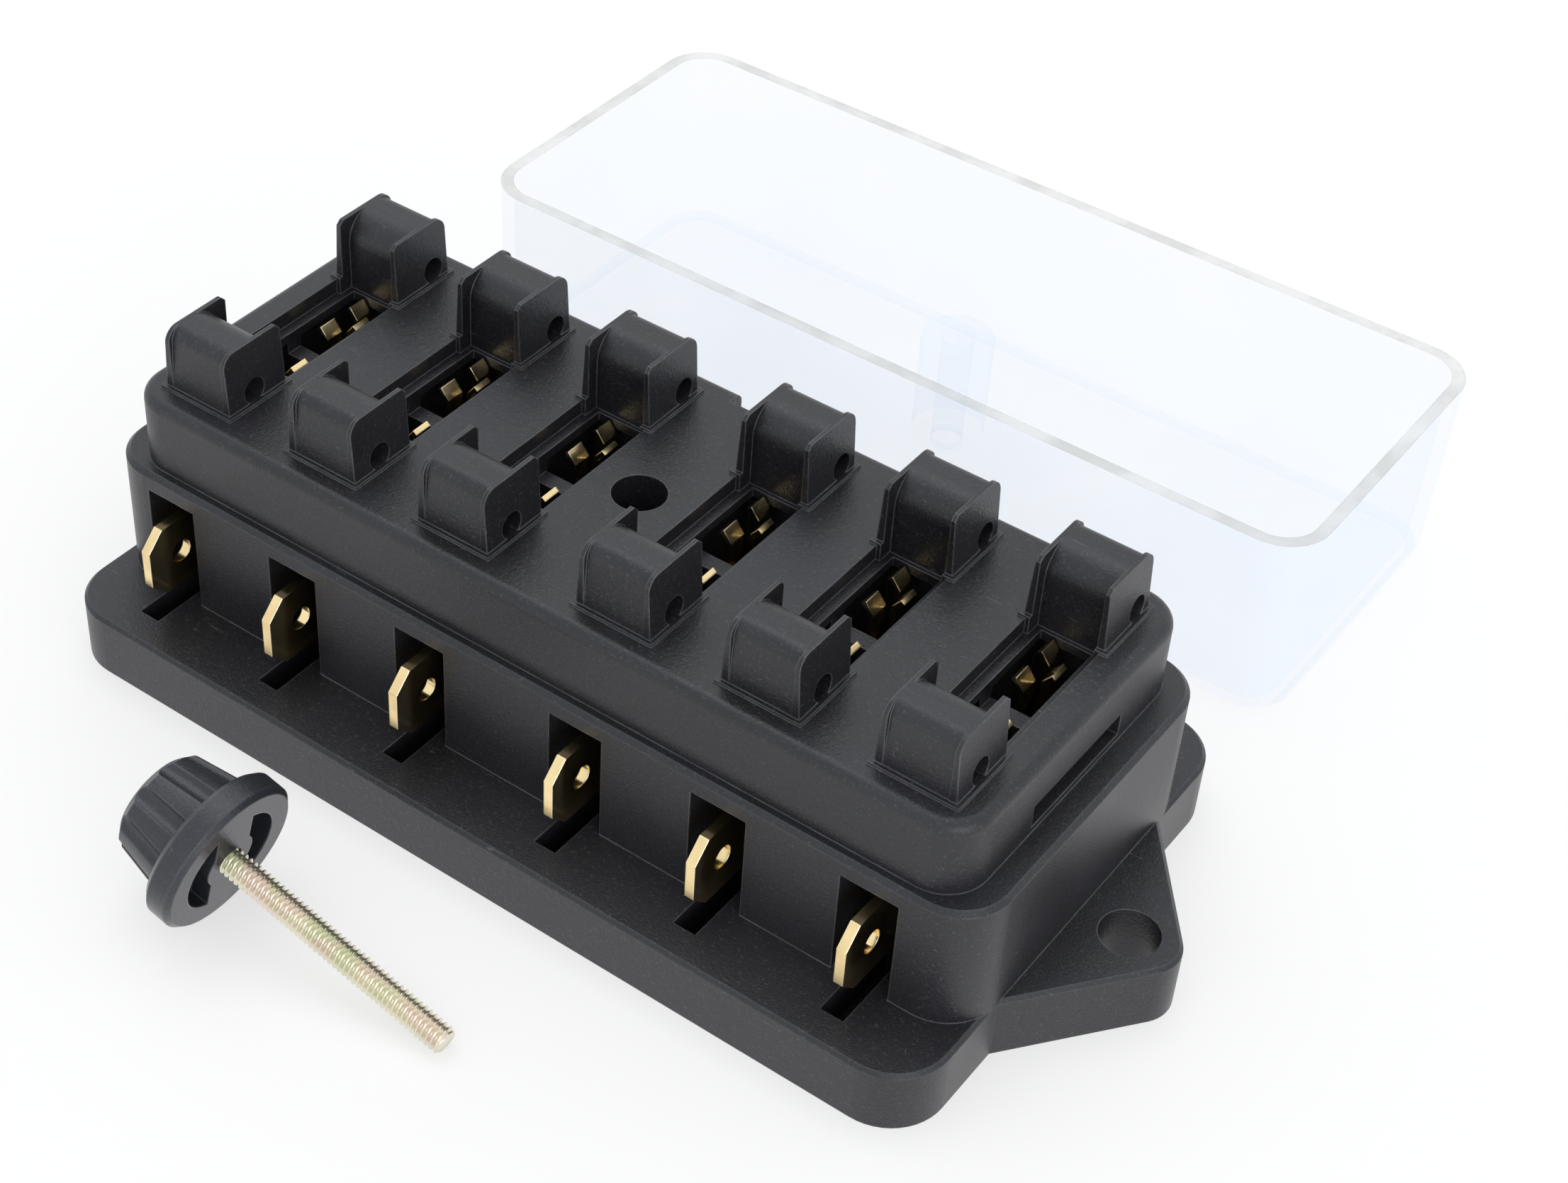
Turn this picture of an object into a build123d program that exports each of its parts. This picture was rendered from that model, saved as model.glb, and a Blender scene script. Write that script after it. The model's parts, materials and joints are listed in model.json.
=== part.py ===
from build123d import *
import os
from math import atan2, cos, degrees, pi, sin

os.makedirs("parts", exist_ok=True)

# Housing outline
body_length = 80.0
ledge_width = 43.7
ledge_height = 5.4
ledge_corner = 4.6
ledge_edge = 0.3
mid_width = 31.5
mid_top = 16.25
mid_corner = 4.2
mid_edge = 0.4
step_inset_x = 2.15
step_inset_y = 1.0
step_corner = 3.4
step_round = 0.9
deck_height = 22.6
press_depth = 0.02

# Mounting ears
ear_hole_out = 3.95
ear_hole_dia = 4.5
ear_tip_out = 7.9
ear_tip_radius = 2.9
ear_root_width = 22.5

# Circuits, three each side of the middle
middle_gap = 2.0
end_margin = 1.5
circuits_per_side = 3

# Fuse pockets
recess_width = 5.9
recess_depth = 1.3
side_lip = 0.9
end_lip = 0.35
lip_thickness = 0.8
clip_room_width = 5.2
clip_room_start = 0.7
clip_room_end = 7.6
divider_drop = 3.1

# Towers that stand over each end of a fuse
tower_height = 5.4
tower_foot_width = 6.5
tower_top_width = 5.9
tower_inner = 6.45
tower_outer = 12.5
channel_width = 5.2
block_face = 7.45
block_round = 2.4
flap_round = 1.2
flap_tip_edge = 0.4
block_relief = 0.33
pad_margin = 0.35
pad_height = 0.2
side_hole_dia = 2.1
side_hole_front = 9.7
side_hole_rear = 10.8
side_hole_rise = 1.1

# Terminals
metal = 0.8
tab_x = -0.45
tab_width = 6.3
tab_bottom = 6.9
tab_end = 18.97
tab_bevel = 1.5
tab_hole_dia = 1.9
tab_hole_back = 3.3
finger_metal = 0.45
finger_width = 1.62
finger_gap = 0.1
finger_start = 1.9
bow_offset = 1.1
bow_rise = 2.6
grip_offset = 0.4
grip_height = 19.0
flare_start = 20.1
tip_offset = 1.1
tip_height = 21.0

# Wire windows
window_left = -3.0
window_right = 1.7
window_top = 14.65
window_back = 10.5
guide_clearance = 0.05
floor_slot_left = -1.5
floor_slot_right = 0.4
floor_slot_end = 19.2

# Cover screw hole and captive nut
screw_hole_dia = 4.2
nut_across_flats = 5.0
nut_thickness = 2.0
nut_top = 15.75
nut_bore_dia = 2.05

# Cover keys on the housing
notch_width = 2.8
notch_depth = 1.6
end_slot_width = 11.6
end_slot_height = 2.0
end_slot_rise = 0.5
end_slot_depth = 1.3

# Base plate
plate_inset_x = 3.5
plate_inset_y = 1.5
plate_thickness = 1.8
plate_corner = 3.6
plate_gap = 0.15
post_start = 8.2
post_length = 2.0
core_width = 3.6
core_length = 25.0
core_roof = 2.3

# Cover, shown taken off and upside down
cover_y = 45.45
cover_height = 17.9
cover_wall = 1.1
cover_taper = 1.0
cover_edge = 1.0
boss_dia = 6.4
boss_height = 11.3
boss_bore_dia = 2.8

# Knob screw, shown lying in front
flange_dia = 12.5
flange_thickness = 2.4
flange_edge = 0.4
knob_length = 7.4
grip_base_dia = 9.9
grip_end_dia = 8.1
grip_edge = 0.6
flute_count = 10
flute_radius = 0.9
flute_sink = 0.45
flute_clear = 0.2
under_recess_dia = 8.4
under_recess_depth = 1.7
hub_dia = 4.4
web_width = 3.4
rod_dia = 2.2
rod_reach = 20.5
rod_root = 4.2
rod_chamfer = 0.25
knob_face_x = -9.45
knob_axis_y = -34.5

# Sizes that follow from those above
step_length = body_length - 2 * step_inset_x
step_width = mid_width - 2 * step_inset_y
ear_hole_x = body_length / 2 + ear_hole_out
ear_tip_x = body_length / 2 + ear_tip_out
circuit_pitch = (body_length - middle_gap - 2 * end_margin) / (2 * circuits_per_side)
first_circuit = (circuit_pitch + middle_gap) / 2
recess_floor = deck_height - recess_depth
room_top = recess_floor - lip_thickness
divider_top = deck_height - divider_drop
lip_opening_width = recess_width - 2 * side_lip
lip_opening_end = block_face - end_lip
tab_top = tab_bottom + tab_width
plate_length = body_length - 2 * plate_inset_x
plate_width = ledge_width - 2 * plate_inset_y
core_top = deck_height - core_roof
window_mid = (window_left + window_right) / 2
window_width = window_right - window_left
slot_mid = (floor_slot_left + floor_slot_right) / 2
slot_width = floor_slot_right - floor_slot_left
guide_width = metal + 2 * guide_clearance


def circuit_positions():
    """Return the X of the six circuits, left to right."""
    right = [first_circuit + circuit_pitch * i for i in range(circuits_per_side)]
    left = [-x for x in reversed(right)]
    return left + right


def make_tower(side_hole_y):
    """Build one tower, its fuse side towards the middle of the box."""
    with BuildPart() as tower:
        with BuildSketch(Plane.XZ.offset(-tower_inner)):
            with BuildLine():
                Polyline(
                    (-tower_foot_width / 2, 0),
                    (tower_foot_width / 2, 0),
                    (tower_top_width / 2, tower_height),
                    (-tower_top_width / 2, tower_height),
                    close=True,
                )
            make_face()
        extrude(amount=tower_inner - tower_outer)
        top_edges = tower.faces().sort_by(Axis.Z)[-1].edges().filter_by(Axis.X).sort_by(Axis.Y)
        fillet(top_edges[-1], radius=flap_round)
        top_edges = tower.faces().sort_by(Axis.Z)[-1].edges().filter_by(Axis.X).sort_by(Axis.Y)
        chamfer(top_edges[0], length=flap_tip_edge)
        # channel between the flaps, up to the rounded block
        with BuildSketch(Plane.YZ):
            with BuildLine():
                Line((0, -1), (block_face, -1))
                Line((block_face, -1), (block_face, tower_height - block_round))
                RadiusArc(
                    (block_face, tower_height - block_round),
                    (block_face + block_round, tower_height),
                    block_round,
                )
                Line((block_face + block_round, tower_height), (block_face + block_round, tower_height + 1))
                Line((block_face + block_round, tower_height + 1), (0, tower_height + 1))
                Line((0, tower_height + 1), (0, -1))
            make_face()
        extrude(amount=channel_width / 2, both=True, mode=Mode.SUBTRACT)
        # the block falls back a little behind the outer edge of the flaps
        back_top = tower_outer - block_relief
        with BuildSketch(Plane.YZ):
            with BuildLine():
                Line((tower_outer, 0), (back_top, tower_height - flap_round))
                RadiusArc((back_top, tower_height - flap_round), (back_top - flap_round, tower_height), -flap_round)
                Line((back_top - flap_round, tower_height), (back_top - flap_round, tower_height + 1))
                Line((back_top - flap_round, tower_height + 1), (tower_outer + 1, tower_height + 1))
                Line((tower_outer + 1, tower_height + 1), (tower_outer + 1, 0))
                Line((tower_outer + 1, 0), (tower_outer, 0))
            make_face()
        extrude(amount=channel_width / 2, both=True, mode=Mode.SUBTRACT)
        # hole right through, in line along the row
        with BuildSketch(Plane.YZ):
            with Locations((side_hole_y, side_hole_rise)):
                Circle(side_hole_dia / 2)
        extrude(amount=tower_foot_width, both=True, mode=Mode.SUBTRACT)
    return tower.part


circuit_xs = circuit_positions()
front_tower = make_tower(side_hole_front)
rear_tower = make_tower(side_hole_rear)

# Everything cut for one half circuit, drawn for the front terminal
with BuildPart() as half_cut:
    # room round the clip, under the lip
    with BuildSketch(Plane.XY.offset(plate_thickness)):
        with Locations((0, -(clip_room_start + clip_room_end) / 2)):
            Rectangle(clip_room_width, clip_room_end - clip_room_start)
    extrude(amount=room_top - plate_thickness)
    # opening inside the lip, and the way over the divider
    with BuildSketch(Plane.XY.offset(divider_top)):
        with Locations((0, (1 - lip_opening_end) / 2)):
            Rectangle(lip_opening_width, lip_opening_end + 1)
    extrude(amount=deck_height - divider_top)
    # guide slot that holds the sheet upright
    with BuildSketch(Plane.XY.offset(plate_thickness)):
        with Locations((tab_x, -(clip_room_end + window_back) / 2)):
            Rectangle(guide_width, window_back - clip_room_end + 1)
    extrude(amount=tab_top - plate_thickness)
    # window for the push-on connector
    with BuildSketch(Plane.XZ.offset(window_back)):
        with Locations((window_mid, (ledge_height + window_top) / 2)):
            Rectangle(window_width, window_top - ledge_height)
    extrude(amount=mid_width)
    # slot in the ledge through which the tab is fitted from below
    with BuildSketch(Plane.XY.offset(-1)):
        with Locations((slot_mid, -(window_back + floor_slot_end) / 2)):
            Rectangle(slot_width, floor_slot_end - window_back)
    extrude(amount=ledge_height + 1.5)

# Housing
with BuildPart() as housing:
    with BuildSketch():
        RectangleRounded(body_length, ledge_width, ledge_corner)
    extrude(amount=ledge_height)
    with BuildSketch():
        with Locations((ear_tip_radius - ear_tip_x, 0), (ear_tip_x - ear_tip_radius, 0)):
            Circle(ear_tip_radius)
        with Locations((0, 0)):
            Rectangle(body_length, ear_root_width)
        make_hull()
    extrude(amount=ledge_height)
    chamfer(housing.faces().sort_by(Axis.Z)[-1].edges(), length=ledge_edge)
    with BuildSketch():
        RectangleRounded(body_length, mid_width, mid_corner)
    extrude(amount=mid_top)
    chamfer(housing.faces().sort_by(Axis.Z)[-1].edges(), length=mid_edge)
    with BuildSketch():
        RectangleRounded(step_length, step_width, step_corner)
    extrude(amount=deck_height)
    fillet(housing.faces().sort_by(Axis.Z)[-1].edges(), radius=step_round)
    # pads that the towers stand on
    pad_length = tower_outer - tower_inner + 2 * pad_margin
    pad_y = (tower_inner + tower_outer) / 2
    with BuildSketch(Plane.XY.offset(deck_height)):
        with Locations(*[(x, y) for x in circuit_xs for y in (-pad_y, pad_y)]):
            Rectangle(tower_foot_width + 2 * pad_margin, pad_length)
    extrude(amount=pad_height)
    with Locations(*[(x, 0, deck_height - press_depth) for x in circuit_xs]):
        add(rear_tower)
    with Locations(*[Location((x, 0, deck_height - press_depth), (0, 0, 180)) for x in circuit_xs]):
        add(front_tower)
    # fuse pockets, wide in the open deck and narrow between the flaps
    with BuildSketch(Plane.XY.offset(recess_floor)):
        with Locations(*[(x, 0) for x in circuit_xs]):
            Rectangle(recess_width, 2 * (tower_inner - pad_margin))
            Rectangle(channel_width, 2 * block_face)
    extrude(amount=recess_depth + pad_height, mode=Mode.SUBTRACT)
    with Locations(*[(x, 0, 0) for x in circuit_xs]):
        add(half_cut.part, mode=Mode.SUBTRACT)
    with Locations(*[Location((x, 0, 0), (0, 0, 180)) for x in circuit_xs]):
        add(half_cut.part, mode=Mode.SUBTRACT)
    # recess and cores on the underside
    with BuildSketch():
        RectangleRounded(plate_length + 2 * plate_gap, plate_width + 2 * plate_gap, plate_corner)
    extrude(amount=plate_thickness, mode=Mode.SUBTRACT)
    core_xs = [(circuit_xs[i] + circuit_xs[i + 1]) / 2 for i in (0, 1, 3, 4)]
    with BuildSketch():
        with Locations(*[(x, 0) for x in core_xs]):
            Rectangle(core_width, core_length)
    extrude(amount=core_top, mode=Mode.SUBTRACT)
    # ear holes and the cover screw hole
    with BuildSketch():
        with Locations((-ear_hole_x, 0), (ear_hole_x, 0)):
            Circle(ear_hole_dia / 2)
    extrude(amount=ledge_height, mode=Mode.SUBTRACT)
    with BuildSketch():
        Circle(screw_hole_dia / 2)
    extrude(amount=deck_height, mode=Mode.SUBTRACT)
    with BuildSketch():
        RegularPolygon(nut_across_flats / 2, 6, major_radius=False)
    extrude(amount=nut_top, mode=Mode.SUBTRACT)
    # keys for the cover
    with BuildSketch(Plane.XY.offset(mid_top)):
        with Locations((0, step_width / 2)):
            Rectangle(notch_width, 2 * notch_depth)
    extrude(amount=deck_height, mode=Mode.SUBTRACT)
    with BuildSketch(Plane.XY.offset(mid_top + end_slot_rise)):
        with Locations((-step_length / 2, 0), (step_length / 2, 0)):
            Rectangle(2 * end_slot_depth, end_slot_width)
    extrude(amount=end_slot_height, mode=Mode.SUBTRACT)

housing.part.label = "housing"
export_step(housing.part, "parts/housing.step")

# Base plate with a post under each terminal
with BuildPart() as base_plate:
    with BuildSketch():
        RectangleRounded(plate_length, plate_width, plate_corner)
    extrude(amount=plate_thickness)
    with BuildSketch(Plane.XY.offset(plate_thickness)):
        for x in circuit_xs:
            with Locations((x + tab_x, -post_start - post_length / 2)):
                Rectangle(metal, post_length)
            with Locations((x - tab_x, post_start + post_length / 2)):
                Rectangle(metal, post_length)
    extrude(amount=tab_bottom - plate_thickness)

base_plate.part.label = "base_plate"
export_step(base_plate.part, "parts/base_plate.step")


def finger_outline(side):
    """Return the outline of one clip finger in the XZ plane, bowed to the given side."""
    spine = [
        (tab_x, tab_top - 0.5),
        (tab_x, tab_top + 0.6),
        (side * bow_offset, tab_top + bow_rise),
        (side * grip_offset, grip_height),
        (side * grip_offset, flare_start),
        (side * tip_offset, tip_height),
    ]
    headings = [atan2(b[1] - a[1], b[0] - a[0]) for a, b in zip(spine, spine[1:])]
    headings = [headings[0]] + headings + [headings[-1]]
    left = []
    right = []
    for (x, z), before, after in zip(spine, headings, headings[1:]):
        across = (before + after) / 2 + pi / 2
        reach = finger_metal / 2 / cos((after - before) / 2)
        left.append((x + reach * cos(across), z + reach * sin(across)))
        right.append((x - reach * cos(across), z - reach * sin(across)))
    return left + right[::-1]


def make_terminal():
    """Build one formed sheet terminal: clip above, flat push-on tab at the side."""
    with BuildPart() as terminal:
        with BuildSketch(Plane.YZ.offset(tab_x)):
            with BuildLine():
                Polyline(
                    (-finger_start, tab_bottom),
                    (-tab_end + tab_bevel, tab_bottom),
                    (-tab_end, tab_bottom + tab_bevel),
                    (-tab_end, tab_top - tab_bevel),
                    (-tab_end + tab_bevel, tab_top),
                    (-finger_start, tab_top),
                    close=True,
                )
            make_face()
            with Locations((tab_hole_back - tab_end, (tab_bottom + tab_top) / 2)):
                Circle(tab_hole_dia / 2, mode=Mode.SUBTRACT)
        extrude(amount=metal / 2, both=True)
        for i, side in enumerate((1, -1, 1)):
            near = finger_start + i * (finger_width + finger_gap)
            with BuildSketch(Plane.XZ.offset(near)):
                with BuildLine():
                    Polyline(*finger_outline(side), close=True)
                make_face()
            extrude(amount=finger_width)
    return terminal.part


front_terminal = make_terminal()
rear_terminal = front_terminal.rotate(Axis.Z, 180)
for number, x in enumerate(circuit_xs, start=1):
    front = front_terminal.moved(Location((x, 0, 0)))
    front.label = f"terminal_front_{number}"
    export_step(front, f"parts/terminal_front_{number}.step")
    rear = rear_terminal.moved(Location((x, 0, 0)))
    rear.label = f"terminal_rear_{number}"
    export_step(rear, f"parts/terminal_rear_{number}.step")

# Captive nut that the cover screw runs into
with BuildPart() as captive_nut:
    with BuildSketch(Plane.XY.offset(nut_top - nut_thickness)):
        RegularPolygon(nut_across_flats / 2, 6, major_radius=False)
        Circle(nut_bore_dia / 2, mode=Mode.SUBTRACT)
    extrude(amount=nut_thickness)

captive_nut.part.label = "captive_nut"
export_step(captive_nut.part, "parts/captive_nut.step")

# Cover, rim upwards, of the same outline as the housing's middle
with BuildPart() as cover:
    with BuildSketch(Plane.XY.offset(cover_height)):
        with Locations((0, cover_y)):
            RectangleRounded(body_length, mid_width, mid_corner)
    extrude(amount=-cover_height, taper=cover_taper)
    chamfer(cover.faces().sort_by(Axis.Z)[0].edges(), length=cover_edge)
    with BuildSketch(Plane.XY.offset(cover_height)):
        with Locations((0, cover_y)):
            RectangleRounded(
                body_length - 2 * cover_wall,
                mid_width - 2 * cover_wall,
                mid_corner - cover_wall,
            )
    extrude(amount=cover_wall - cover_height, taper=cover_taper, mode=Mode.SUBTRACT)
    with BuildSketch(Plane.XY.offset(cover_wall)):
        with Locations((0, cover_y)):
            Circle(boss_dia / 2)
    extrude(amount=boss_height - cover_wall)
    with BuildSketch():
        with Locations((0, cover_y)):
            Circle(boss_bore_dia / 2)
    extrude(amount=boss_height, mode=Mode.SUBTRACT)

cover.part.label = "cover"
export_step(cover.part, "parts/cover.step")

# Knob and threaded rod, drawn upright with the rod end down
grip_slope = (grip_base_dia - grip_end_dia) / 2 / (knob_length - flange_thickness)
with BuildPart() as knob_upright:
    with BuildSketch(Plane.XZ):
        with BuildLine():
            Polyline(
                (0, 0),
                (flange_dia / 2, 0),
                (flange_dia / 2, flange_thickness),
                (grip_base_dia / 2, flange_thickness),
                (grip_end_dia / 2, knob_length),
                (0, knob_length),
                close=True,
            )
        make_face()
    revolve(axis=Axis.Z)
    chamfer(knob_upright.edges().filter_by(GeomType.CIRCLE).group_by(Axis.Z)[-1], length=grip_edge)
    wide = [e for e in knob_upright.edges().filter_by(GeomType.CIRCLE) if e.radius > flange_dia / 2 - 0.1]
    chamfer(wide, length=flange_edge)
    for i in range(flute_count):
        angle = 2 * pi * i / flute_count
        reach = grip_base_dia / 2 + flute_sink
        start = (reach * cos(angle), reach * sin(angle), flange_thickness + flute_clear)
        along = (-grip_slope * cos(angle), -grip_slope * sin(angle), 1)
        with BuildSketch(Plane(origin=start, z_dir=along)):
            Circle(flute_radius)
        extrude(amount=knob_length, mode=Mode.SUBTRACT)
    with BuildSketch(Plane.XY):
        Circle(under_recess_dia / 2)
        Circle(hub_dia / 2, mode=Mode.SUBTRACT)
        Rectangle(under_recess_dia, web_width, mode=Mode.SUBTRACT)
    extrude(amount=under_recess_depth, mode=Mode.SUBTRACT)
    with BuildSketch(Plane.XY):
        Circle(rod_dia / 2)
    extrude(amount=rod_root, mode=Mode.SUBTRACT)

with BuildPart() as rod_upright:
    with BuildSketch(Plane.XY.offset(rod_root)):
        Circle(rod_dia / 2)
    extrude(amount=-rod_root - rod_reach)
    chamfer(rod_upright.edges().sort_by(Axis.Z)[0], length=rod_chamfer)

# The screw lies on the corner under its flange's chamfer and on the tip of its rod
rim_reach = flange_dia / 2
tip_run = rod_reach - rod_chamfer
lean_rise = rim_reach - rod_dia / 2
lean_run = tip_run + flange_edge
lean = atan2(lean_rise, lean_run)
face_height = rim_reach * cos(lean) - flange_edge * sin(lean)
lying = Location((knob_face_x, knob_axis_y, face_height)) * Rotation(0, degrees(lean) - 90, 0)

knob = knob_upright.part.moved(lying)
knob.label = "knob"
export_step(knob, "parts/knob.step")
threaded_rod = rod_upright.part.moved(lying)
threaded_rod.label = "threaded_rod"
export_step(threaded_rod, "parts/threaded_rod.step")
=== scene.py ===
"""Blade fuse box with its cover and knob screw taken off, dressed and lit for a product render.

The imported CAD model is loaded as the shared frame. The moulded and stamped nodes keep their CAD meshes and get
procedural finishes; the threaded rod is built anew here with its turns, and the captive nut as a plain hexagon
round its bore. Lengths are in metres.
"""

from __future__ import annotations

import json
import logging
import math
from dataclasses import dataclass, field
from enum import Enum

import bmesh
import bpy
from mathutils import Matrix, Vector

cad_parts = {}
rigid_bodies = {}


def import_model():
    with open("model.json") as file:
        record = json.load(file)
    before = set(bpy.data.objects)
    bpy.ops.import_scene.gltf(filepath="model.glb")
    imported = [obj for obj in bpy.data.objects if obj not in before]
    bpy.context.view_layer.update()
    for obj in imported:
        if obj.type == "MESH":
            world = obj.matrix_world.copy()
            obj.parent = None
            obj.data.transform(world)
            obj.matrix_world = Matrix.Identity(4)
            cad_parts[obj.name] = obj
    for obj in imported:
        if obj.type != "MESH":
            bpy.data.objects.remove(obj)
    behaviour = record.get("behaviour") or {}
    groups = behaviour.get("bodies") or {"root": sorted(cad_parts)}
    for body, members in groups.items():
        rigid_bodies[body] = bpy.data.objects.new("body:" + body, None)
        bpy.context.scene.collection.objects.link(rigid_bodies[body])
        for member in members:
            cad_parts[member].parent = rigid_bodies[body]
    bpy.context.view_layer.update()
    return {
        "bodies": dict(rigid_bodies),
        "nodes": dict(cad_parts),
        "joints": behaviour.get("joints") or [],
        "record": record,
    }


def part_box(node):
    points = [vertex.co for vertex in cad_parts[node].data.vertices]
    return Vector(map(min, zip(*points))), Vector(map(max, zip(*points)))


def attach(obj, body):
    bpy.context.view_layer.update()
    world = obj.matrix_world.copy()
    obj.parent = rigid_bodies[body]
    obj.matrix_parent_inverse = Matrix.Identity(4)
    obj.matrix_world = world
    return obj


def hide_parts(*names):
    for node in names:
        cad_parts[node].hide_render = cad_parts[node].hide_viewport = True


LOG = logging.getLogger("fuse_box")
MM = 0.001
BEVEL_SAMPLES = 4
# A line of sight through the cover and its post meets more clear walls than Blender's default lets through.
CLEAR_WALLS = 24
Colour = tuple[float, float, float]
BLACK: Colour = (0.0, 0.0, 0.0)
WHITE: Colour = (1.0, 1.0, 1.0)


class Slot(Enum):
    """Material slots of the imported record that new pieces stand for."""

    NUT = "nut_steel"
    ROD = "passivated_steel"


class Body(Enum):
    """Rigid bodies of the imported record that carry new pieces."""

    BASE = "base"
    SCREW = "knob_screw"


@dataclass(frozen=True)
class Noise:
    """Size and character of one noise pattern.

    Args:
        scale: Cells per metre.
        detail: Number of octaves.
        rough: Weight of the finer octaves.
    """

    scale: float
    detail: float = 2.0
    rough: float = 0.5


@dataclass(frozen=True)
class Patches:
    """A noise pattern cut into soft-edged patches.

    Args:
        noise: The pattern.
        low: Noise value at which a patch begins.
        high: Noise value at which it is full.
    """

    noise: Noise
    low: float
    high: float


@dataclass
class Graph:
    """Thin helper that adds and links shader nodes in one tree.

    Args:
        tree: The node tree to build in.
    """

    tree: bpy.types.NodeTree

    def add(self, kind: str, **settings: object) -> bpy.types.Node:
        """Add a node and set its plain properties.

        Args:
            kind: Blender's node type name.
            **settings: Attribute values to set on the node.

        Returns:
            The new node.
        """
        node = self.tree.nodes.new(kind)
        for key, value in settings.items():
            setattr(node, key, value)
        return node

    def put(self, target: bpy.types.NodeSocket, value: object) -> None:
        """Link a socket or write a constant into an input.

        Args:
            target: The input socket.
            value: An output socket, or a constant.
        """
        if isinstance(value, bpy.types.NodeSocket):
            self.tree.links.new(value, target)
        else:
            target.default_value = value

    def where(self) -> bpy.types.NodeSocket:
        """Add the object's own coordinates.

        Returns:
            The coordinate socket.
        """
        return self.add("ShaderNodeTexCoord").outputs["Object"]

    def split(self, vector: bpy.types.NodeSocket) -> bpy.types.NodeOutputs:
        """Split a vector into its parts.

        Args:
            vector: The vector socket.

        Returns:
            The X, Y and Z sockets.
        """
        node = self.add("ShaderNodeSeparateXYZ")
        self.put(node.inputs[0], vector)
        return node.outputs

    def stretched(self, scale: Colour, turn: Colour = BLACK) -> bpy.types.NodeSocket:
        """Turn and stretch the object's own coordinates.

        Args:
            scale: Factors along X, Y and Z.
            turn: Turns about X, Y and Z, in radians.

        Returns:
            The changed coordinate socket.
        """
        node = self.add("ShaderNodeMapping")
        self.put(node.inputs["Vector"], self.where())
        node.inputs["Rotation"].default_value = turn
        node.inputs["Scale"].default_value = scale
        return node.outputs[0]

    def math(self, operation: str, a: object, b: object = 0.0, clamp: bool = False) -> bpy.types.NodeSocket:
        """Add a math node.

        Args:
            operation: Blender's math operation name.
            a: First operand, a socket or a number.
            b: Second operand, a socket or a number.
            clamp: Whether the result is clamped to 0..1.

        Returns:
            The result socket.
        """
        node = self.add("ShaderNodeMath", operation=operation, use_clamp=clamp)
        self.put(node.inputs[0], a)
        self.put(node.inputs[1], b)
        return node.outputs[0]

    def blend(self, start: object, value: object, factor: object) -> bpy.types.NodeSocket:
        """Add a share of one value to another.

        Args:
            start: The first value, a socket or a number.
            value: The value that is added.
            factor: Its share.

        Returns:
            The socket with start + value * factor.
        """
        return self.math("ADD", start, self.math("MULTIPLY", value, factor))

    def ramp(self, value: object, low: float, high: float) -> bpy.types.NodeSocket:
        """Map a range to 0..1, clamped and smoothed.

        Args:
            value: The value to map.
            low: Value that gives 0.
            high: Value that gives 1.

        Returns:
            The mapped value's socket.
        """
        node = self.add("ShaderNodeMapRange", interpolation_type="SMOOTHSTEP")
        for socket, item in zip(node.inputs[:3], (value, low, high)):
            self.put(socket, item)
        return node.outputs[0]

    def mix(self, factor: object, a: object, b: object) -> bpy.types.NodeSocket:
        """Mix two colours.

        Args:
            factor: 0 gives a, 1 gives b.
            a: Colour socket or (r, g, b).
            b: Colour socket or (r, g, b).

        Returns:
            The mixed colour's socket.
        """
        node = self.add("ShaderNodeMix", data_type="RGBA", clamp_factor=True)
        for socket, item in ((node.inputs[0], factor), (node.inputs[6], a), (node.inputs[7], b)):
            self.put(socket, (*item, 1.0) if isinstance(item, tuple) else item)
        return node.outputs[2]

    def noise(self, where: bpy.types.NodeSocket, pattern: Noise) -> bpy.types.NodeSocket:
        """Add a noise texture.

        Args:
            where: Coordinate socket.
            pattern: Its size and character.

        Returns:
            The noise value's socket.
        """
        node = self.add("ShaderNodeTexNoise")
        self.put(node.inputs["Vector"], where)
        node.inputs["Scale"].default_value = pattern.scale
        node.inputs["Detail"].default_value = pattern.detail
        node.inputs["Roughness"].default_value = pattern.rough
        return node.outputs[0]

    def patches(self, where: bpy.types.NodeSocket, patches: Patches) -> bpy.types.NodeSocket:
        """Add a mask of soft-edged patches.

        Args:
            where: Coordinate socket.
            patches: The pattern and its range.

        Returns:
            The mask's socket.
        """
        return self.ramp(self.noise(where, patches.noise), patches.low, patches.high)


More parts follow.
